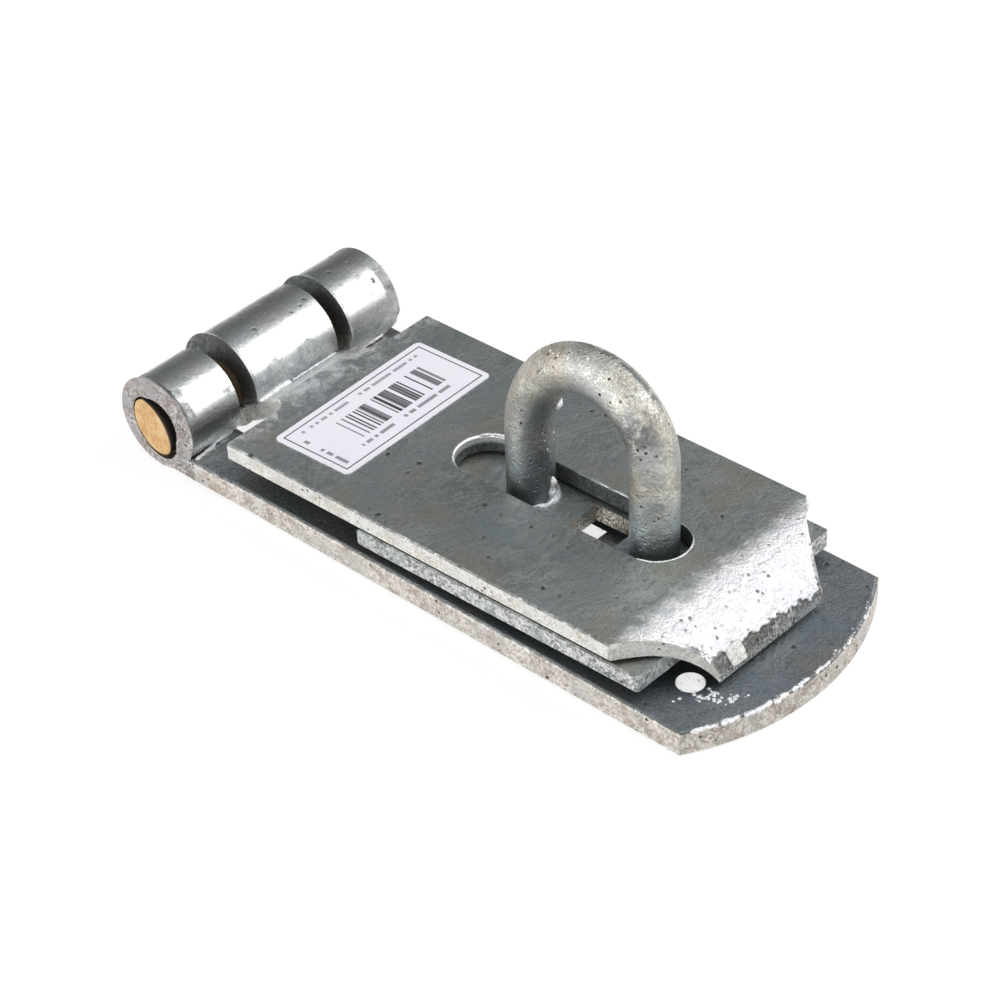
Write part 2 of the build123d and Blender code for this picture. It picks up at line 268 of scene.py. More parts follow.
# %% The zinc skin: its tone and colour
colours = ("Pale", "Deep", "Warm", "Cool")
shares = ("Speckle share", "Streak share", "Stain share", "Pit share", "Gloss", "Relief")
zinc_skin, given, result = new_group(
    "Zinc skin",
    [(pattern, number, 0.0) for pattern in patterns]
    + [(name, tint, (0.5, 0.5, 0.5, 1)) for name in colours] + [(name, number, 0.4) for name in shares],
    [("Color", tint), ("Roughness", number), ("Height", number)])
g = zinc_skin
cloud_share, lowest_tone = 0.65, 0.2
pit_darkness, ash = 0.85, (0.05, 0.046, 0.04, 1)
tone = sums(g, "MULTIPLY_ADD", given["Clouds"], cloud_share, lowest_tone)
for pattern, share in (("Streaks", "Streak share"), ("Speckle", "Speckle share")):
    swing = sums(g, "SUBTRACT", given[pattern], 0.5)
    tone = sums(g, "ADD", tone, product(g, swing, given[share]))
tone = sums(g, "ADD", tone, 0.0, clamp=True)
pits = product(g, given["Pits"], given["Pit share"])
colour = blend(g, tone, given["Deep"], given["Pale"])
for pattern, stain in (("Warm patch", "Warm"), ("Cool patch", "Cool")):
    share = sums(g, "MULTIPLY", given[pattern], given["Stain share"], clamp=True)
    colour = blend(g, share, colour, given[stain])
colour = blend(g, sums(g, "MULTIPLY", pits, pit_darkness, clamp=True), colour, ash)
g.links.new(colour, result["Color"])
print("the zinc skin's colour takes", len(g.nodes), "nodes")

# %% The zinc skin: its roughness and height
dark_dullness, pit_dullness = 0.22, 0.3
cloud_height, streak_height, speckle_height = 0.5, 0.18, 0.4
dull = sums(g, "MULTIPLY_ADD", sums(g, "SUBTRACT", 1.0, tone), dark_dullness, given["Gloss"])
dull = sums(g, "ADD", dull, product(g, pits, pit_dullness), clamp=True)
lumps = product(g, given["Clouds"], cloud_height)
lumps = sums(g, "ADD", lumps, product(g, given["Streaks"], given["Streak share"], streak_height))
lumps = sums(g, "ADD", lumps, product(g, given["Speckle"], given["Speckle share"], speckle_height))
g.links.new(dull, result["Roughness"])
g.links.new(product(g, sums(g, "SUBTRACT", lumps, pits), given["Relief"]), result["Height"])
print("zinc skin has", len(g.nodes), "nodes")

# %% [markdown]
# ## Mixes of zinc
# The broad faces of a rolled bar are smooth and grey. Cut edges are rough, so they hold a thicker,
# paler coat with brown stains. The walls of the slot and of the gaps between the knuckles get a darker
# mix, the zinc's grey darkened as painted shade. The walls of the leaf's holes get a pure white mirror,
# a painted reflection that stands in for the white floor seen through them. Those of the staple plate's
# holes are mottled with brown, and so is the ring of the front knuckle. The barrel is shinier, and the
# bent lip carries the palest coat, which is torn away in a rough dark band along its end. The staple's
# crown is warmer than its legs, and the crust on the round end is the whitest.

# %% Values for each mix


def mix(*tints, speckle, streak, stain, pit, gloss, relief=1.0):
    """Zinc of pale, deep, warm and cool tints, how strong each pattern is, how dull and how lumpy."""
    recipe = {name: (*colour, 1) for name, colour in zip(colours, tints)}
    recipe.update(zip(shares, (speckle, streak, stain, pit, gloss, relief)))
    return recipe


FACE = mix((0.44, 0.465, 0.455), (0.19, 0.21, 0.213), (0.30, 0.29, 0.23), (0.25, 0.30, 0.325),
           speckle=0.8, streak=0.9, stain=0.5, pit=1.1, gloss=0.37, relief=0.9)
LEAF_FACE = mix((0.28, 0.30, 0.31), (0.12, 0.135, 0.15), (0.20, 0.19, 0.17), (0.17, 0.21, 0.25),
                speckle=0.8, streak=0.5, stain=0.5, pit=1.0, gloss=0.38)
EDGE = mix((0.96, 0.95, 0.91), (0.62, 0.60, 0.56), (0.58, 0.52, 0.44), (0.74, 0.76, 0.77),
           speckle=1.1, streak=0.0, stain=0.4, pit=1.0, gloss=0.5)
LEAF_EDGE = mix((0.88, 0.83, 0.77), (0.46, 0.42, 0.38), (0.40, 0.31, 0.24), (0.64, 0.64, 0.62),
                speckle=1.2, streak=0.0, stain=0.6, pit=1.2, gloss=0.5)
PLATE_EDGE = mix((0.86, 0.87, 0.86), (0.22, 0.235, 0.24), (0.44, 0.42, 0.38), (0.52, 0.56, 0.58),
                 speckle=1.3, streak=0.4, stain=0.4, pit=1.1, gloss=0.40)
# painted shade: the zinc's grey darkened for the walls of slots, holes and the gaps between the knuckles
SHADED_WALL = mix((0.26, 0.28, 0.28), (0.09, 0.10, 0.10), (0.16, 0.14, 0.10), (0.16, 0.20, 0.22),
           speckle=0.9, streak=0.2, stain=0.4, pit=0.9, gloss=0.40)
# painted reflection: a pure white mirror on the leaf's hole walls stands in for the white floor seen through them
WHITE_MIRROR_HOLE = mix((1.0, 1.0, 1.0), (0.93, 0.93, 0.92), (0.80, 0.76, 0.68), (0.90, 0.92, 0.94),
           speckle=0.4, streak=0.0, stain=0.15, pit=0.4, gloss=0.06)
PLATE_HOLE = mix((0.98, 0.93, 0.84), (0.20, 0.17, 0.13), (0.46, 0.34, 0.22), (0.55, 0.55, 0.52),
                 speckle=1.8, streak=0.0, stain=0.5, pit=1.0, gloss=0.25)
RING = mix((0.66, 0.62, 0.61), (0.24, 0.22, 0.215), (0.36, 0.29, 0.24), (0.46, 0.45, 0.47),
           speckle=1.3, streak=0.0, stain=0.6, pit=1.2, gloss=0.42)
BARREL = mix((0.52, 0.53, 0.53), (0.26, 0.275, 0.28), (0.38, 0.38, 0.34), (0.34, 0.38, 0.40),
             speckle=0.4, streak=0.5, stain=0.4, pit=1.1, gloss=0.26, relief=1.3)
LIP = mix((0.96, 0.96, 0.97), (0.68, 0.68, 0.70), (0.84, 0.79, 0.77), (0.78, 0.81, 0.88),
          speckle=0.9, streak=0.3, stain=0.4, pit=0.9, gloss=0.34, relief=1.6)
TORN = mix((0.72, 0.72, 0.70), (0.13, 0.135, 0.14), (0.38, 0.34, 0.28), (0.40, 0.43, 0.47),
           speckle=1.7, streak=0.0, stain=0.4, pit=1.2, gloss=0.32, relief=2.0)
STAPLE = mix((0.76, 0.74, 0.67), (0.30, 0.295, 0.27), (0.42, 0.37, 0.30), (0.38, 0.40, 0.40),
             speckle=0.7, streak=0.0, stain=0.7, pit=1.5, gloss=0.29, relief=0.8)
LEG = mix((0.54, 0.58, 0.58), (0.25, 0.28, 0.295), (0.38, 0.36, 0.31), (0.28, 0.34, 0.38),
          speckle=0.4, streak=0.0, stain=0.4, pit=0.9, gloss=0.27)
CRUST = mix((1.0, 0.99, 0.97), (0.52, 0.51, 0.50), (0.62, 0.55, 0.47), (0.72, 0.74, 0.78),
            speckle=1.6, streak=0.0, stain=0.5, pit=1.2, gloss=0.30, relief=2.0)
print("a mix has", len(FACE), "values")

# %% [markdown]
# ## From mixes to a material
# A material places the grain once or twice, lays skins over each other like coats of paint, each
# with the mask where it shows, and joins the result to its shader at the end. All of them start from
# the same place in millimetres from the pin, so a cloud or a streak has its true size everywhere.

# %% Skins in a material


def grain(tree, place, cloud_size, pit_gap):
    """The zinc grain group in a material, at its own size in millimetres."""
    return put(tree, "ShaderNodeGroup", {"Place": place, "Cloud size": cloud_size, "Pit gap": pit_gap},
               node_tree=zinc_grain).outputs


def skin(tree, grains, values):
    """The zinc skin group in a material, laid over a grain, with its own values."""
    node = put(tree, "ShaderNodeGroup", {name: grains[name] for name in patterns}, node_tree=zinc_skin)
    for name, value in values.items():
        node.inputs[name].default_value = value
    return node.outputs


def coats(tree, first, *others):
    """Skins laid over each other; each later one comes with the mask where it shows."""
    colour, rough, height = first
    for outputs, share in others:
        colour = blend(tree, share, colour, outputs["Color"])
        rough = between(tree, share, rough, outputs["Roughness"])
        height = between(tree, share, height, outputs["Height"])
    return colour, rough, height


# %% The start and the end of a material


def start_material(name):
    """A material with its graph, its surface normal and its place in millimetres from the pin."""
    material = bpy.data.materials.new(name)
    material.use_nodes = True
    tree = material.node_tree
    spot = put(tree, "ShaderNodeTexCoord").outputs
    moved = vectors(tree, "ADD", {0: spot["Object"], 1: (-pin.x, 0, 0)})
    return material, tree, spot["Normal"], vectors(tree, "SCALE", {0: moved, "Scale": 1 / MM})


def end_material(tree, colour, rough, height, bump, metal):
    """Joins the finished colour, roughness, bumps and metal to the shader."""
    shader = tree.nodes["Principled BSDF"]
    bumps = put(tree, "ShaderNodeBump", {"Height": height, "Distance": bump * MM, "Strength": 1.0})
    for socket, value in (("Base Color", colour), ("Roughness", rough), ("Normal", bumps.outputs[0])):
        tree.links.new(value, shader.inputs[socket])
    if isinstance(metal, bpy.types.NodeSocket):
        tree.links.new(metal, shader.inputs["Metallic"])
    else:
        shader.inputs["Metallic"].default_value = metal


def wear(node, material):
    """Gives a CAD node its finished material."""
    slots = frame["nodes"][node].data.materials
    slots.clear()
    slots.append(material)
    print(node, "wears", material.name, "with", len(material.node_tree.nodes), "nodes")


# %% [markdown]
# ## One material for a plate
# A material for each face would end in ruled borders, so one material finds its own way. The surface
# normal tells faces from edges: on a face it points up or down, and on an edge it points sideways.
# The place tells an outer edge from the wall of a slot or hole: an outer edge lies near the outline.
# On the outer arris between a face and an edge a broken dark line is painted as shade, and on the
# rolled rim of the slot, away from its middle, a broken pale line is painted as a highlight.

# %% Masks for a plate
seam_x, seam_slope = 8.95, 0.76  # where the curl's tip meets the bar, and how the curl climbs to it
slot_middle = 74.0
# the pale line painted as a highlight on the rolled rim starts this far from the slot's middle
highlight_from, highlight_full = 16.0, 19.0  # how far from there the rolled rim turns bright


def plate_masks(tree, place, normal, half_width, end_x):
    """Where a plate is wall, outer edge, outer arris, inner rim or round barrel."""
    x, y, z = axes(tree, place)
    _, side_normal, up_normal = axes(tree, normal)
    steep = sums(tree, "ABSOLUTE", up_normal)
    sideways = sums(tree, "ABSOLUTE", side_normal)
    far_out = sums(tree, "ABSOLUTE", y)
    side = fade(tree, wander(tree, steep, place, 0.9, 0.3), 0.42, 0.6)
    near_side = ramp(tree, far_out, half_width - 2.4, half_width - 1.6)
    outline = most(tree, near_side, ramp(tree, x, end_x - 0.5, end_x))
    inside = sums(tree, "SUBTRACT", 1.0, outline)
    arris = product(tree, ramp(tree, steep, 0.35, 0.55), fade(tree, steep, 0.8, 0.95))
    from_middle = sums(tree, "ABSOLUTE", sums(tree, "SUBTRACT", x, slot_middle))
    slot_end = ramp(tree, from_middle, highlight_from, highlight_full)
    # painted shade: a broken dark line on the outer arris
    scraped = product(tree, arris, outline, patches(tree, place, 2.5, 0.34, 0.5))
    # painted highlight: a broken pale line on the rolled rim away from the slot's middle
    rubbed = product(tree, arris, inside, slot_end, patches(tree, place, 3.0, 0.3, 0.45, 3, 0.6))
    barrel = product(tree, fade(tree, x, 8.5, 12.0), fade(tree, sideways, 0.6, 0.8))
    return {"x": x, "far_out": far_out, "z": z, "up_normal": up_normal, "sideways": sideways,
            "side": side, "outline": outline, "inside": inside, "scraped": scraped, "rubbed": rubbed,
            "barrel": barrel, "past_seam": ramp(tree, x, 8.8, 9.6), "neck": 0.0}


def neck_mask(tree, where):
    """The sides of the hasp's cranked neck, below the seam of its knuckle."""
    before_seam = sums(tree, "MINIMUM", where["x"], seam_x)
    over_curl = sums(tree, "MULTIPLY_ADD", before_seam, -seam_slope, where["z"])
    below_seam = most(tree, fade(tree, over_curl, 2.0, 2.3), where["past_seam"])
    return product(tree, where["side"], below_seam, fade(tree, where["far_out"], 14.0, 14.5),
                   ramp(tree, where["x"], 2.0, 2.6), fade(tree, where["x"], 15.0, 16.5))


# %% [markdown]
# ### Layers that only some plates have
# The barrel belongs to the two hinged plates, with painted shade on the walls of its gaps. The hasp
# alone has a haze of zinc by its seam, a painted highlight on the rolled slot end at the hinge side and
# the pale lip with its torn band. Each set of layers is a function, so that the material of a plate is
# called with the sets it needs.

# %% Layers for the barrel and the hasp


def barrel_layers(tree, place, where, broad, fine):
    """The knuckles: painted shade on the walls in their gaps, a mottled ring at the front and a shiny round skin.
    """
    # painted shade on the walls of the gaps between the knuckles
    gap = product(tree, where["side"], fade(tree, where["x"], 8.2, 9.4),
                  sums(tree, "SUBTRACT", 1.0, where["neck"]))
    return [(skin(tree, fine, SHADED_WALL), gap), (skin(tree, fine, RING), product(tree, gap, where["outline"])),
            (skin(tree, broad, BARREL), where["barrel"])]


def hasp_layers(tree, place, where, broad, fine):
    """The hasp's own zinc and a painted highlight: the haze by the seam, the highlight on the rolled slot end, the
    pale lip and its torn band.
    """
    drifted = wander(tree, where["x"], place, 3.5, 9.0)
    flat_across = fade(tree, where["sideways"], 0.25, 0.45)
    facing_up = ramp(tree, where["up_normal"], 0.05, 0.2)
    frost = product(tree, flat_across, facing_up, ramp(tree, drifted, 103.5, 108.5))
    haze = product(tree, where["past_seam"], facing_up, fade(tree, drifted, 16.0, 23.0),
                   patches(tree, place, 4.0, 0.38, 0.6, warp=1.0), 0.7)
    # painted highlight: pale lip zinc on the top of the slot's walls at its hinge end
    rolled_rim_highlight = product(tree, where["side"], where["inside"], ramp(tree, where["x"], 20.0, 22.0),
                     fade(tree, where["x"], 56.0, 60.0), ramp(tree, where["z"], 11.5, 12.3))
    torn = product(tree, flat_across, fade(tree, where["far_out"], 13.2, 14.5),
                   ramp(tree, where["x"], 116.6, 116.9))
    return [(skin(tree, fine, LIP), most(tree, frost, haze, rolled_rim_highlight)), (skin(tree, fine, TORN), torn)]


# %% The galvanised plates
# the painted shade on the outer arris, and how strong it is
arris_shade_share, arris_shade_grey = 0.7, (0.09, 0.09, 0.085, 1)
# the painted highlight on the rolled rim, and how strong it is
rim_highlight_share, rim_highlight_white = 0.8, (0.93, 0.94, 0.94, 1)
edge_metal = -0.4  # a thick coat on a cut edge is less of a mirror


def galvanised(name, face, edge, wall, half_width, end_x, *extra_layers, has_neck=False):
    """Faces, walls and outer edges, and whatever layers the plate has of its own."""
    material, tree, normal, place = start_material(name)
    broad, fine = grain(tree, place, 9.0, 3.0), grain(tree, place, 2.6, 1.7)
    where = plate_masks(tree, place, normal, half_width, end_x)
    if has_neck:
        where["neck"] = neck_mask(tree, where)
    outer_edge = most(tree, product(tree, where["side"], where["outline"]), where["neck"])
    layers = [(skin(tree, fine, wall), where["side"]), (skin(tree, fine, edge), outer_edge)]
    for extra in extra_layers:
        layers += extra(tree, place, where, broad, fine)
    colour, rough, height = coats(tree, skin(tree, broad, face), *layers)
    # paints the shade on the outer arris
    colour = blend(tree, product(tree, where["scraped"], arris_shade_share), colour, arris_shade_grey)
    # paints the highlight on the rolled rim
    colour = blend(tree, product(tree, where["rubbed"], rim_highlight_share), colour, rim_highlight_white)
    not_round = sums(tree, "SUBTRACT", 1.0, where["barrel"])
    metal = sums(tree, "MULTIPLY_ADD", product(tree, outer_edge, not_round), edge_metal, 1.0)
    end_material(tree, colour, rough, height, 0.1, metal)
    return material


wear("hasp_leaf", galvanised("galvanised hasp", FACE, EDGE, SHADED_WALL, strap_half, 104.0,
                            barrel_layers, hasp_layers, has_neck=True))
# the leaf's hole walls wear the white mirror that paints the floor seen through them
wear("hinge_leaf", galvanised("galvanised leaf", LEAF_FACE, LEAF_EDGE, WHITE_MIRROR_HOLE, leaf_half, 119.5,
                             barrel_layers))
wear("staple_plate", galvanised("galvanised plate", FACE, PLATE_EDGE, PLATE_HOLE, plate_half, 109.8))

# %% [markdown]
# ## The staple
# The staple is one bent bar. Its crown is rough and pitted and its legs are smoother, darker and
# bluer, so two mixes fade into each other with height. Four dark marks lie over them: a painted
# shadow at the feet, painted shade on the inner side of the near leg and in a broken line along the
# back of the crown, and a smear on the far shoulder.

# %% The staple's two mixes
staple_zinc, tree, normal, place = start_material("galvanised staple")
x, y, z = axes(tree, place)
height_up = wander(tree, z, place, 6.0, 16.0)
rod = grain(tree, place, 4.5, 1.5)
leg_top, crown_bottom = 18.0, 27.0
legs = fade(tree, height_up, leg_top, crown_bottom)
colour, rough, height = coats(tree, skin(tree, rod, STAPLE), (skin(tree, rod, LEG), legs))
print("the staple's mixes meet between", leg_top, "and", crown_bottom, "mm")

# %% The staple's dark marks
# one dark grey for the painted shadow and shade on the staple and for the smear
far_shoulder, shade_and_smear_grey = (91.5, -2.5, 37.0), (0.08, 0.09, 0.10, 1)
inward, backward, _ = axes(tree, normal)
# painted shadow, darker towards the feet where the legs go into the plate
painted_foot_shadow = ramp(tree, height_up, 6.0, 19.0, 0.75, 0.0)
# painted shade on the side of the near leg that faces the far leg
painted_inner_shade = product(tree, ramp(tree, inward, 0.15, 0.7), fade(tree, x, 70.0, 73.0), 0.6)
# painted shade in a broken line where the top of the crown turns to the back
painted_back_shade = product(tree, ramp(tree, backward, 0.1, 0.25), fade(tree, backward, 0.35, 0.6),
                     ramp(tree, z, 38.0, 41.0), patches(tree, place, 2.5, 0.38, 0.52), 0.75)
from_shoulder = put(tree, "ShaderNodeVectorMath", {0: place, 1: far_shoulder}, operation="DISTANCE")
smear = product(tree, fade(tree, from_shoulder.outputs["Value"], 1.5, 6.0),
                patches(tree, place, 2.2, 0.36, 0.56, warp=1.0), 0.7)
colour = blend(tree, most(tree, painted_foot_shadow, painted_inner_shade, painted_back_shade, smear), colour, shade_and_smear_grey)
end_material(tree, colour, rough, height, 0.22, 0.95)
wear("staple", staple_zinc)

# %% [markdown]
# ## The brass pin
# The pin's end was cut off and hammered, so it has a dull orange face with long scratches across it.
# Its ends are low ovals in wider mouths, and what shows of it beside an oval is in deep shade. So is
# the rest of the pin in the gaps between the knuckles. Both are painted nearly black, because soft
# lamps would light them up.

# %% Brass
dull_brass, bright_brass, pale_brass = (0.78, 0.40, 0.16, 1), (1.0, 0.66, 0.31, 1), (1.0, 0.74, 0.40, 1)
brass, tree, _, place = start_material("worn brass")
drawn = put(tree, "ShaderNodeMapping", {"Vector": place, "Rotation": (0, 0.9, 0),
                                        "Scale": (3.0, 1.0, 0.35)}).outputs[0]
scratch = patches(tree, drawn, 0.5, 0.38, 0.62, 5, 0.7, 0.6)
patch = noise(tree, place, 2.2, 3, 0.5)
colour = blend(tree, scratch, dull_brass, bright_brass)
colour = blend(tree, ramp(tree, patch, 0.4, 0.7), colour, pale_brass)

# %% The pin's dark crescent and gaps
oval_x, oval_z = -1.13, 7.93  # the middle of the oval
lean_x, lean_z = 0.83, 0.56  # the direction of its short way
half_short, half_long = 3.6, 5.6
shade_brown = (0.03, 0.022, 0.018, 1)
x, y, z = axes(tree, place)
far_out = sums(tree, "ABSOLUTE", y)
off_x, off_z = sums(tree, "SUBTRACT", x, oval_x), sums(tree, "SUBTRACT", z, oval_z)
short_way = sums(tree, "ADD", product(tree, off_x, lean_x), product(tree, off_z, lean_z))
long_way = sums(tree, "SUBTRACT", product(tree, off_z, lean_x), product(tree, off_x, lean_z))
reach = sums(tree, "ADD", sums(tree, "POWER", sums(tree, "DIVIDE", short_way, half_short), 2.0),
             sums(tree, "POWER", sums(tree, "DIVIDE", long_way, half_long), 2.0))
crescent = product(tree, ramp(tree, reach, 0.94, 1.06), ramp(tree, short_way, 0.0, 0.5),
                   ramp(tree, far_out, 20.0, 21.0))
in_gap = ramp(tree, far_out, 22.0, 24.0, 0.85, 0.0)
colour = blend(tree, most(tree, crescent, in_gap), colour, shade_brown)
end_material(tree, colour, sums(tree, "MULTIPLY_ADD", patch, 0.2, 0.38), scratch, 0.08, 0.5)
wear("hinge_pin", brass)

# %% [markdown]
# ## The label
# A white paper label lies on the strap. Its print is left generic: a thin frame, a block of bars
# and rows of plain dashes, with no words or figures. An image could be laid on it, but sums on the
# label's own coordinates draw such plain marks without a file and stay sharp from close by.

# %% The label's own coordinates
paper, tree, _, place = start_material("paper label")
low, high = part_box("label")
centre = (low + high) / 2
own = put(tree, "ShaderNodeMapping",
          {"Vector": place, "Location": ((pin.x - centre.x) / MM, -centre.y / MM, 0)})
turned = put(tree, "ShaderNodeMapping", {"Vector": own.outputs[0], "Rotation": (0, 0, -fold_tilt)})
along, across, _ = axes(tree, turned.outputs[0])


def within(value, low, high):
    """1 where value lies between low and high."""
    return sums(tree, "COMPARE", value, (low + high) / 2, (high - low) / 2)


def dashes(value, step, gap):
    """1 on the dashes of a row, whose lengths differ a little, and the chance of each."""
    cell = sums(tree, "FLOOR", sums(tree, "DIVIDE", value, step))
    chance = put(tree, "ShaderNodeTexWhiteNoise", {"W": cell}, noise_dimensions="1D").outputs["Value"]
    return sums(tree, "GREATER_THAN", chance, gap), chance


print("label centre in mm:", [round(v / MM, 1) for v in centre])

# %% Paper and print
frame_half_x, frame_half_y, frame_line = 7.55, 17.7, 0.13
bar_step, bar_gap, dash_step, dash_gap = 0.36, 0.42, 0.7, 0.3
edge_x = sums(tree, "SUBTRACT", sums(tree, "ABSOLUTE", along), frame_half_x)
edge_y = sums(tree, "SUBTRACT", sums(tree, "ABSOLUTE", across), frame_half_y)
border = within(most(tree, edge_x, edge_y), -frame_line, frame_line)
bar, bar_chance = dashes(across, bar_step, bar_gap)
bars = product(tree, bar, within(along, -3.4, 3.4), within(across, -8.9, 12.9),
               ramp(tree, bar_chance, bar_gap, 0.8, 0.7, 1.0))
row, _ = dashes(across, dash_step, dash_gap)
line = product(tree, row, within(along, -6.35, -5.65), within(across, -16.4, 15.4), 0.6)
short_line = product(tree, row, within(along, 4.6, 5.4), within(across, -10.9, 11.9), 0.7)
column, _ = dashes(along, dash_step, dash_gap)
column = product(tree, column, within(across, -16.6, -15.8), within(along, -4.0, 6.4), 0.7)
ink = most(tree, border, bars, line, short_line, column)
paper_tone = blend(tree, noise(tree, place, 6.0, 3), (0.84, 0.82, 0.92, 1), (0.90, 0.89, 0.94, 1))
colour = blend(tree, ink, paper_tone, (0.05, 0.05, 0.06, 1))
end_material(tree, colour, between(tree, ink, 0.4, 0.55), noise(tree, place, 2.0, 4), 0.01, 0.0)
wear("label", paper)

# %% [markdown]
# ## Frozen drops and threads of zinc
# The bath leaves more than a skin: threads along the seams, a ragged crust on the round end, drops
# beside a hole and a thick torn coat on the lip. They are real lumps, so they are modelled. Each
# starts as a primitive that is shaped in edit mode, and is then melted: subdivided and pushed in and
# out by a cloud texture. Its place comes from the nearest point of the node that it sits on.

# %% Zinc for lumps


def lump_zinc(name, values, bump, metal):
    """A material for pieces that are all one mix."""
    material, tree, _, place = start_material(name)
    outputs = skin(tree, grain(tree, place, 2.6, 1.7), values)
    end_material(tree, outputs["Color"], outputs["Roughness"], outputs["Height"], bump, metal)
    print(name, "has", len(tree.nodes), "nodes")
    return material


bright_zinc = lump_zinc("bright zinc", LIP, 0.15, 0.9)
bare_zinc = lump_zinc("bare zinc", EDGE, 0.2, 0.6)
crust_zinc = lump_zinc("crust zinc", CRUST, 0.2, 0.85)

# %% What carries a piece, and how it is melted
bodies = frame["record"]["behaviour"]["bodies"]
body_of = {node: body for body, nodes in bodies.items() for node in nodes}
cloud_texture = bpy.data.textures.new("zinc lumps", "CLOUDS")
cloud_texture.noise_scale = 0.9 * MM
cloud_texture.noise_depth = 2
made = {}


def mode(name):
    """Switches to OBJECT or EDIT mode, unless Blender is in it already."""
    if bpy.context.mode[:4] != name[:4]:
        bpy.ops.object.mode_set(mode=name)


def start():
    """Deselects everything, so that the next operator acts on the new piece alone."""
    mode("OBJECT")
    bpy.ops.object.select_all(action="DESELECT")


def use(piece, kind, **settings):
    """Adds a modifier and applies it."""
    modifier = piece.modifiers.new(kind.lower(), kind)
    for name, value in settings.items():
        setattr(modifier, name, value)
    bpy.ops.object.modifier_apply(modifier=modifier.name)


def melt(name, node, material, lump):
    """Finishes the active piece: its place goes into its mesh, its surface is lumpy, and it rides."""
    mode("OBJECT")
    piece = bpy.context.object
    piece.name = name
    bpy.ops.object.transform_apply(location=True, rotation=True, scale=True)
    use(piece, "SUBSURF", levels=1, render_levels=1)
    use(piece, "DISPLACE", texture=cloud_texture, texture_coords="GLOBAL", strength=lump * MM,
        mid_level=0.5)
    bpy.ops.object.shade_smooth()
    piece.data.materials.append(material)
    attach(piece, body_of[node])
    made[name] = len(piece.data.polygons)
    return piece


def show_made(title):
    """Prints how many faces each new piece has."""
    print(title, dict(made))
    made.clear()


# %% Threads and drops


def touch(node, place):
    """The nearest point on a CAD node to a rough place, and the turn that faces away from it."""
    _, spot, facing, _ = frame["nodes"][node].closest_point_on_mesh(place)
    return spot, facing.normalized().to_track_quat("Z", "Y").to_euler()


def bead(name, node, places, widths, lump=0.25):
    """A thread of zinc: a filled ring is extruded from place to place and changes width on the way."""
    start()
    spots = [touch(node, place)[0] for place in places]
    way = (spots[-1] - spots[0]).to_track_quat("Z", "Y").to_euler()
    bpy.ops.mesh.primitive_circle_add(vertices=8, radius=widths[0] * MM, fill_type="NGON",
                                      location=spots[0], rotation=way)
    mode("EDIT")
    for index in range(1, len(spots)):
        step = spots[index] - spots[index - 1]
        bpy.ops.mesh.extrude_region_move(TRANSFORM_OT_translate={"value": step})
        grow = widths[index] / widths[index - 1]
        bpy.ops.transform.resize(value=(grow, grow, grow), center_override=spots[index])
    bpy.ops.mesh.select_all(action="SELECT")
    bpy.ops.mesh.normals_make_consistent(inside=False)
    return melt(name, node, bright_zinc, lump)


def drop(name, node, place, size, lump=0.3, material=bright_zinc, seed=1, detail=3):
    """A flattened lump that is half sunk in the surface under it."""
    start()
    spot, facing = touch(node, place)
    bpy.ops.mesh.primitive_ico_sphere_add(subdivisions=detail, radius=MM, location=spot, scale=size,
                                          rotation=facing)
    mode("EDIT")
    bpy.ops.transform.vertex_random(offset=0.05 * min(size) * MM, seed=seed)
    return melt(name, node, material, lump)


def along_line(first, last, count):
    """Evenly spaced places from first to last."""
    return [first.lerp(last, step / (count - 1)) for step in range(count)]


def uneven(count, low, high, seed):
    """Widths that wander between low and high and taper at both ends."""
    chance = random.Random(seed)
    widths = [chance.uniform(low, high) for _ in range(count)]
    widths[0] = widths[-1] = low * 0.4
    return widths


# %% [markdown]
# ## Seams of the curled knuckles
# Each eye is the bar's end curled round the pin, and zinc ran into the line where the curl's tip
# comes back to the bar. The middle one is filled like a weld at its front and thins out to the back.

# %% Seam threads
seam_z, fill_x = 9.0, 9.3
for seed, (name, node, first, last, count, low, high, lump) in enumerate((
        ("seam_thread_front", "hinge_leaf", (8.6, -26.0, 5.0), (7.4, -15.2, 5.2), 16, 0.3, 0.5, 0.25),
        ("seam_thread_back", "hinge_leaf", (7.0, 14.6, 5.6), (7.9, 23.4, 5.2), 14, 0.28, 0.48, 0.25),
        ("seam_thread_middle", "hasp_leaf", (seam_x, -4.5, seam_z), (seam_x, 10.0, seam_z), 20,
         0.22, 0.36, 0.15),
        ("seam_fill_middle", "hasp_leaf", (fill_x, -10.3, seam_z), (fill_x, -2.0, seam_z), 12,
         0.7, 1.0, 0.5)), start=1):
    bead(name, node, along_line(at(*first), at(*last), count), uneven(count, low, high, seed), lump)
show_made("seam pieces:")

# %% [markdown]
# ## The crust on the round end
# The leaf hung with its round end down, so zinc gathered along the top arris there and froze in a
# broken white crust. Its line is the arc of the end: on the arris at the sides, and just inside it at
# the tip. Eight threads of different length and width make it, and small crumbs lie beside them.

# %% Crust
arc_middle, arc_radius = 80.23, 48.07
tip_inset, tip_half, crust_wobble = 0.55, 14, 0.15
places_per_mm = 2.4


def on_arc(y, inset):
    """A place on the top of the leaf, inset from the arc of its round end."""
    return at(arc_middle + math.sqrt((arc_radius - inset) ** 2 - y * y), y, leaf_top)


def crust_inset(y):
    """How far the crust lies inside the arris."""
    return tip_inset * max(0, 1 - abs(y) / tip_half) + crust_wobble * land.noise(Vector((y * 0.6, 0, 0)))


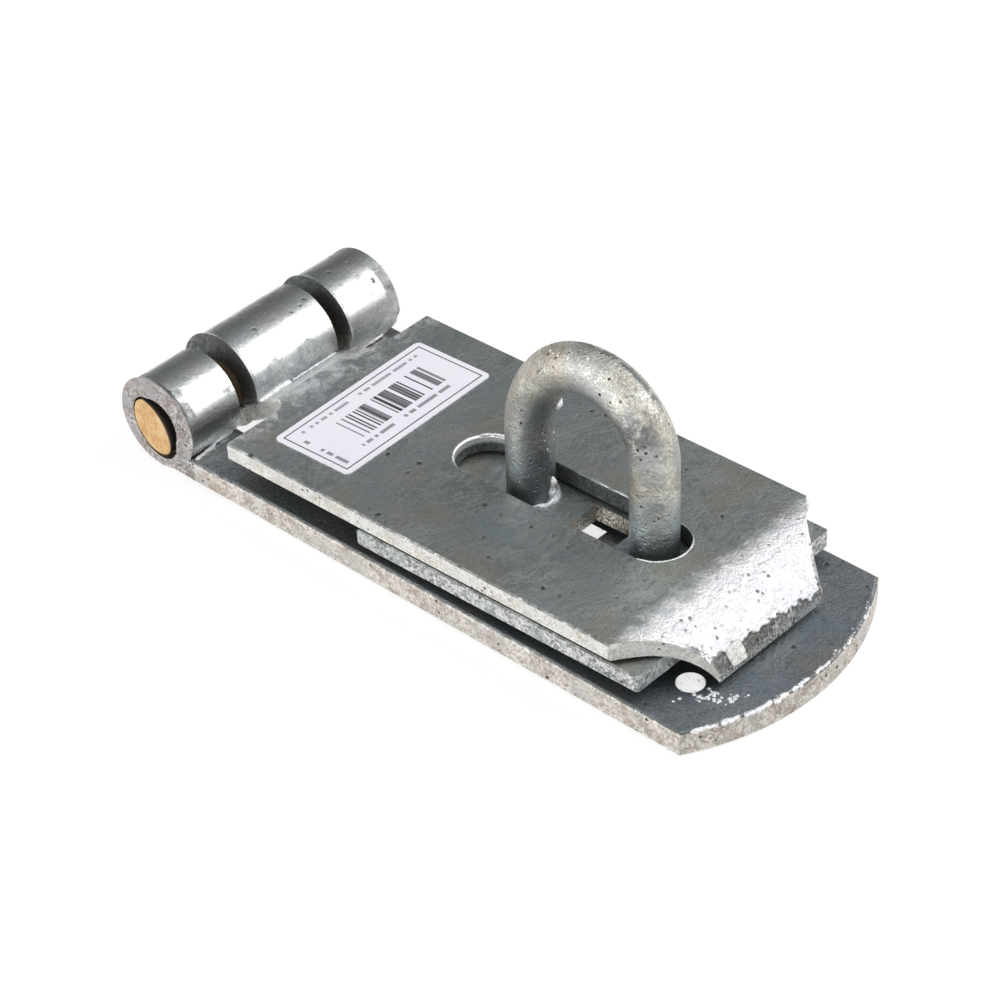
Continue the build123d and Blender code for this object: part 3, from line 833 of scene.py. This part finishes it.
for index, (start_y, end_y, low, high) in enumerate(
        ((-24.8, -20.2, 0.25, 0.55), (-20.0, -16.4, 0.3, 0.65), (-16.2, -10.6, 0.3, 0.65),
         (-10.4, -6.8, 0.25, 0.5), (-6.2, -2.0, 0.2, 0.42), (-0.6, 3.6, 0.2, 0.36),
         (7.4, 10.8, 0.15, 0.32), (15.6, 18.9, 0.15, 0.3))):
    count = 4 + int(abs(end_y - start_y) * places_per_mm)
    ys = [start_y + (end_y - start_y) * step / (count - 1) for step in range(count)]
    bead(f"crust_{index + 1}", "hinge_leaf", [on_arc(y, crust_inset(y)) for y in ys],
         uneven(count, low, high, 10 + index), 0.9)
show_made("crust pieces:")

# %% [markdown]
# ## Spatter
# Where a piece is shaken over the bath, small drops land on it and freeze: a patch beside the near
# bolt hole, crumbs along the crust, and a few on the staple's crown and its near leg. Each patch is
# one piece. Its drops are made one by one with few faces, so that they can be many, and are joined.

# %% A patch of spatter


def spatter(name, node, places, sizes, seed, material=bright_zinc):
    """Many small drops as one piece: each is made by itself, then they are joined."""
    chance = random.Random(seed)
    drops = []
    for place in places:
        size = chance.uniform(*sizes)
        flat = (size, size * chance.uniform(0.6, 1.4), size * 0.4)
        drops.append(drop(f"{name}_{len(drops)}", node, place, flat, 0.1, material, seed, detail=1))
    start()
    for piece in drops:
        del made[piece.name]
        piece.select_set(True)
    bpy.context.view_layer.objects.active = drops[0]
    bpy.ops.object.join()
    drops[0].name = name
    made[name] = len(drops[0].data.polygons)


# %% The four patches
chance = random.Random(5)
hole_side_x, hole_side_y, scatter = 118.6, -16.0, 0.8
beside_hole = []
for _ in range(44):
    run = chance.gauss(0, 1.0)
    beside_hole.append(at(hole_side_x + 1.7 * run + chance.gauss(0, scatter),
                          hole_side_y + 1.3 * run + chance.gauss(0, scatter), leaf_top))
spatter("spatter_beside_hole", "hinge_leaf", beside_hole, (0.2, 0.55), 6)
crumbs = [chance.uniform(-24.5, 20) for _ in range(46)]
crumbs = [on_arc(y, crust_inset(y) + abs(chance.gauss(0.25, 0.35))) for y in crumbs]
spatter("crust_crumbs", "hinge_leaf", crumbs, (0.15, 0.42), 9, crust_zinc)
crown_x, crown_y, above_crown = 74.0, -2.4, 46
on_crown = [at(crown_x + chance.uniform(-5, 6), crown_y + chance.uniform(-1, 1.6), above_crown)
            for _ in range(16)]
spatter("spatter_on_crown", "staple", on_crown, (0.12, 0.4), 7)
inner_face_x, leg_y = 69.2, 1.0
on_leg = [at(inner_face_x, leg_y + chance.uniform(-2, 2), chance.uniform(17, 30)) for _ in range(9)]
spatter("flecks_on_leg", "staple", on_leg, (0.12, 0.35), 8)
show_made("spatter:")

# %% [markdown]
# ## Zinc on the staple
# A thick fillet froze round the foot of the near leg where it goes into the plate, a run climbs the
# leg's inner face from it, and a drop hangs inside the loop where the leg meets the crown.

# %% Foot fillet, run and drop
leg_x = 64.65
leg_face, fillet_reach = leg_x + 4.3, 4.7
foot = [math.radians(turn) for turn in range(-50, 91, 10)]
bead("foot_fillet", "staple_plate",
     [on_fold(leg_x + fillet_reach * math.cos(turn), leg_y + fillet_reach * math.sin(turn), plate_top)
      for turn in foot], uneven(len(foot), 0.55, 0.9, 21), 0.4)
bead("foot_run", "staple", along_line(at(leg_face, 1.2, 9.2), at(leg_face, 2.0, 14.6), 8),
     uneven(8, 0.5, 1.2, 22), 0.5)
drop("loop_drop", "staple", at(leg_face, 2.6, 30.1), (1.3, 1.0, 0.7), seed=23)
show_made("on the staple:")

# %% [markdown]
# ## Zinc round the slot
# The rolled rim of the slot is torn at its hinge end, and a thin rim of zinc follows its other end.
# Both are threads round a half circle. Rays along the middle of the strap find where the slot's walls
# are, so the threads stay on the rim. A drip also hangs from the far shoulder.

# %% Rims and drip
slot_y = 0.45


def slot_wall(x, direction):
    """Where a ray along the middle of the strap meets the slot's wall, in mm from the pin's axis."""
    _, spot, _, _ = frame["nodes"]["hasp_leaf"].ray_cast(on_fold(x, slot_y, strap_top / 2), direction)
    return (spot.x - pin.x) / MM, spot.y / MM


slot_half = slot_wall(75, (0, 1, 0))[1] - slot_y
for name, round_x, turns, reach, low, high in (
        ("slot_tear", slot_wall(56, (-1, 0, 0))[0] + slot_half, range(88, 150, 6), 0.2, 0.12, 0.42),
        ("slot_rim", slot_wall(97.5, (1, 0, 0))[0] - slot_half, range(-84, 60, 6), 0.15, 0.1, 0.26)):
    turned_to = [math.radians(turn) for turn in turns]
    radius = slot_half + reach
    rim = [on_fold(round_x + radius * math.cos(turn), slot_y + radius * math.sin(turn), strap_top)
           for turn in turned_to]
    bead(name, "hasp_leaf", rim, uneven(len(turned_to), low, high, 24), 0.3)
    print(name, "about x", round(round_x, 2), "with half the slot's width", round(slot_half, 2))
drop("shoulder_drip", "hasp_leaf", on_fold(105.2, 25.6, 1.0), (0.7, 1.6, 0.45), seed=25)
show_made("round the slot:")

# %% [markdown]
# ## The blister below the lip
# One square flake of the coat stayed on the torn band, near its front corner. A cube is the nearest
# primitive: it is pressed flat, cut into small faces and pushed out of shape before it is melted.

# %% The blister
start()
spot, facing = touch("hasp_leaf", on_fold(117.6, -8.6, -3.2))
bpy.ops.mesh.primitive_cube_add(size=2 * MM, location=spot, scale=(1.9, 1.8, 0.3), rotation=facing)
mode("EDIT")
bpy.ops.mesh.subdivide(number_cuts=3)
bpy.ops.transform.vertex_random(offset=0.25 * MM, seed=26)
melt("lip_blister", "hasp_leaf", bare_zinc, 0.3)
show_made("below the lip:")

# %% [markdown]
# ## The torn coat on the lip
# The lip carries the thickest coat of all. It was still soft when the piece was knocked against
# another, so it ends in a torn line above a rough bare band. The sheet is a line across the lip that
# is spun about a centre a little nearer the surface than the bend's own, so that it rises slowly out
# of the metal. Faces past the torn line and past the scallops are then deleted.

# %% Lip coat
lip_start, bend_radius = 106.5, 13.0
coat_lift, coat_side = 1.0, 22.4
lift_turn = math.radians(50)
coat_middle = on_fold(lip_start + coat_lift * math.sin(lift_turn), 0,
                      strap_top - bend_radius + coat_lift * math.cos(lift_turn))
coat_radius = bend_radius + 0.2 - coat_lift
first_turn, last_turn = math.radians(6), math.radians(68)
coat_steps, coat_cuts = 48, 119
start()
bpy.ops.mesh.primitive_plane_add(size=2 * coat_side * MM, location=(0, 0, 0))
sheet = bpy.context.object
mode("EDIT")
bpy.ops.mesh.select_all(action="DESELECT")
mode("OBJECT")
for vertex in sheet.data.vertices:
    vertex.select = vertex.co.x < 0
mode("EDIT")
bpy.ops.mesh.delete(type="VERT")
bpy.ops.mesh.select_all(action="SELECT")
bpy.ops.mesh.subdivide(number_cuts=coat_cuts)
first_way = Vector((math.sin(first_turn + fold_tilt), 0, math.cos(first_turn + fold_tilt)))
first = coat_middle + first_way * coat_radius * MM
bpy.ops.transform.translate(value=first - Vector((coat_side * MM, 0, 0)))
bpy.ops.mesh.spin(steps=coat_steps, angle=last_turn - first_turn, center=coat_middle, axis=(0, -1, 0))
mode("OBJECT")
print("lip coat before it is torn:", len(sheet.data.polygons), "faces,",
      [[round(f(v.co[i] for v in sheet.data.vertices) / MM, 1) for i in range(3)] for f in (min, max)])

# %% Tear the coat
scallop_from, scallop_length, scallop_depth, scallop_scoop = 105.2, 13.0, 12.4, 5.5
torn_turn, torn_slant, torn_reach = 53.5, 0.4, 6.5
begun_turn, begun_reach = 11, 8.0
side_gap = 0.6


def scallop_half(x):
    """Half the hasp's width at x, where the shoulders are scooped out towards the lip."""
    share = min(max((x - scallop_from) / scallop_length, 0), 1)
    return strap_half - scallop_depth * share - scallop_scoop * share * (1 - share)


mode("EDIT")
bpy.ops.mesh.select_all(action="DESELECT")
mode("OBJECT")
for face in sheet.data.polygons:
    spot = face.center - coat_middle
    turn = math.degrees(math.atan2(spot.x, spot.z) - fold_tilt)
    x, y = (face.center.x - pin.x) / MM, face.center.y / MM
    torn = (torn_turn + torn_slant * y
            + torn_reach * land.fractal(Vector((y * 0.55, 3.0, turn * 0.02)), 0.8, 2.0, 4))
    begun = begun_turn + begun_reach * land.fractal(Vector((y * 0.3, 9.0, 0)), 0.8, 2.0, 3)
    face.select = turn > torn or turn < begun or abs(y) > scallop_half(x) - side_gap
mode("EDIT")
bpy.ops.mesh.delete(type="FACE")
bpy.ops.mesh.select_all(action="SELECT")
bpy.ops.transform.vertex_random(offset=0.06 * MM, seed=9)
bpy.ops.mesh.normals_make_consistent(inside=False)
mode("OBJECT")
use(sheet, "SOLIDIFY", thickness=0.45 * MM, offset=-0.6)
melt("lip_coat", "hasp_leaf", bright_zinc, 0.35)
show_made("on the lip:")

# %% [markdown]
# ## A plain studio
# The floor and the world are white to the camera and in reflections. A large soft lamp behind and
# above the right side puts the long highlight on the barrel and on the drawn-down lip, and a second
# one lights the cut edges from the front. A dark card on the hinge's side, which only reflections can
# see, keeps the flat faces and the far side of the barrel from mirroring pure white.

# %% Floor and world
floor_grey, floor_glow = 0.25, 0.82
world_light, world_white = 0.5, 1.0  # what lights the object, and what is seen


def sees_background(tree):
    """1 for camera, glossy and transmission rays."""
    rays = put(tree, "ShaderNodeLightPath").outputs
    return most(tree, rays["Is Camera Ray"], rays["Is Glossy Ray"], rays["Is Transmission Ray"])


def empty_material(name):
    """A material with nothing in its graph."""
    material = bpy.data.materials.new(name)
    material.use_nodes = True
    material.node_tree.nodes.clear()
    return material, material.node_tree


start()
bpy.ops.mesh.primitive_plane_add(size=6, location=(0, 0, -0.0001))
floor = bpy.context.object
floor.name = "floor"
floor_white, tree = empty_material("floor white")
matt = put(tree, "ShaderNodeBsdfDiffuse", {"Color": (floor_grey, floor_grey, floor_grey, 1)})
glow = put(tree, "ShaderNodeEmission", {"Strength": product(tree, sees_background(tree), floor_glow)})
both_shaders = put(tree, "ShaderNodeAddShader", {0: matt.outputs[0], 1: glow.outputs[0]})
put(tree, "ShaderNodeOutputMaterial", {"Surface": both_shaders.outputs[0]})
floor.data.materials.append(floor_white)

world = bpy.data.worlds.new("studio")
bpy.context.scene.world = world
world.use_nodes = True
tree, sky = world.node_tree, world.node_tree.nodes["Background"].inputs
sky["Color"].default_value = (1, 1, 1, 1)
tree.links.new(ramp(tree, sees_background(tree), 0, 1, world_light, world_white), sky["Strength"])
print("floor lies at", round(floor.location.z / MM, 2), "mm")

# %% Lamps and card
lamp_target = (0, 0, 0.01)


def aimed(thing, place, target):
    """Puts a thing at a place with its face turned to the target."""
    thing.location = place
    thing.rotation_euler = (Vector(target) - Vector(place)).to_track_quat("-Z", "Y").to_euler()


def soft_lamp(name, place, width, height, watts):
    """A rectangular soft box."""
    lamp = bpy.data.lights.new(name, "AREA")
    lamp.shape = "RECTANGLE"
    lamp.size, lamp.size_y, lamp.energy = width, height, watts
    thing = bpy.data.objects.new(name, lamp)
    bpy.context.scene.collection.objects.link(thing)
    aimed(thing, place, lamp_target)
    print(name, "of", watts, "W")


soft_lamp("key lamp", (0.34, 0.42, 0.48), 0.42, 0.5, 2.9)
soft_lamp("front lamp", (-0.30, -0.62, 0.30), 0.5, 0.4, 3.0)
bpy.ops.mesh.primitive_plane_add(size=1)
card = bpy.context.object
card.name = "dark card"
card.scale = (1.7, 1.5, 1)
aimed(card, (-0.84, 0.66, 0.50), (0, 0, 0))
card.visible_camera = card.visible_diffuse = card.visible_shadow = False
card_grey, tree = empty_material("card grey")
grey = put(tree, "ShaderNodeEmission", {"Color": (0.2, 0.2, 0.2, 1)})
put(tree, "ShaderNodeOutputMaterial", {"Surface": grey.outputs[0]})
card.data.materials.append(card_grey)

# %% The last lines
bpy.context.scene.view_settings.view_transform = "Standard"
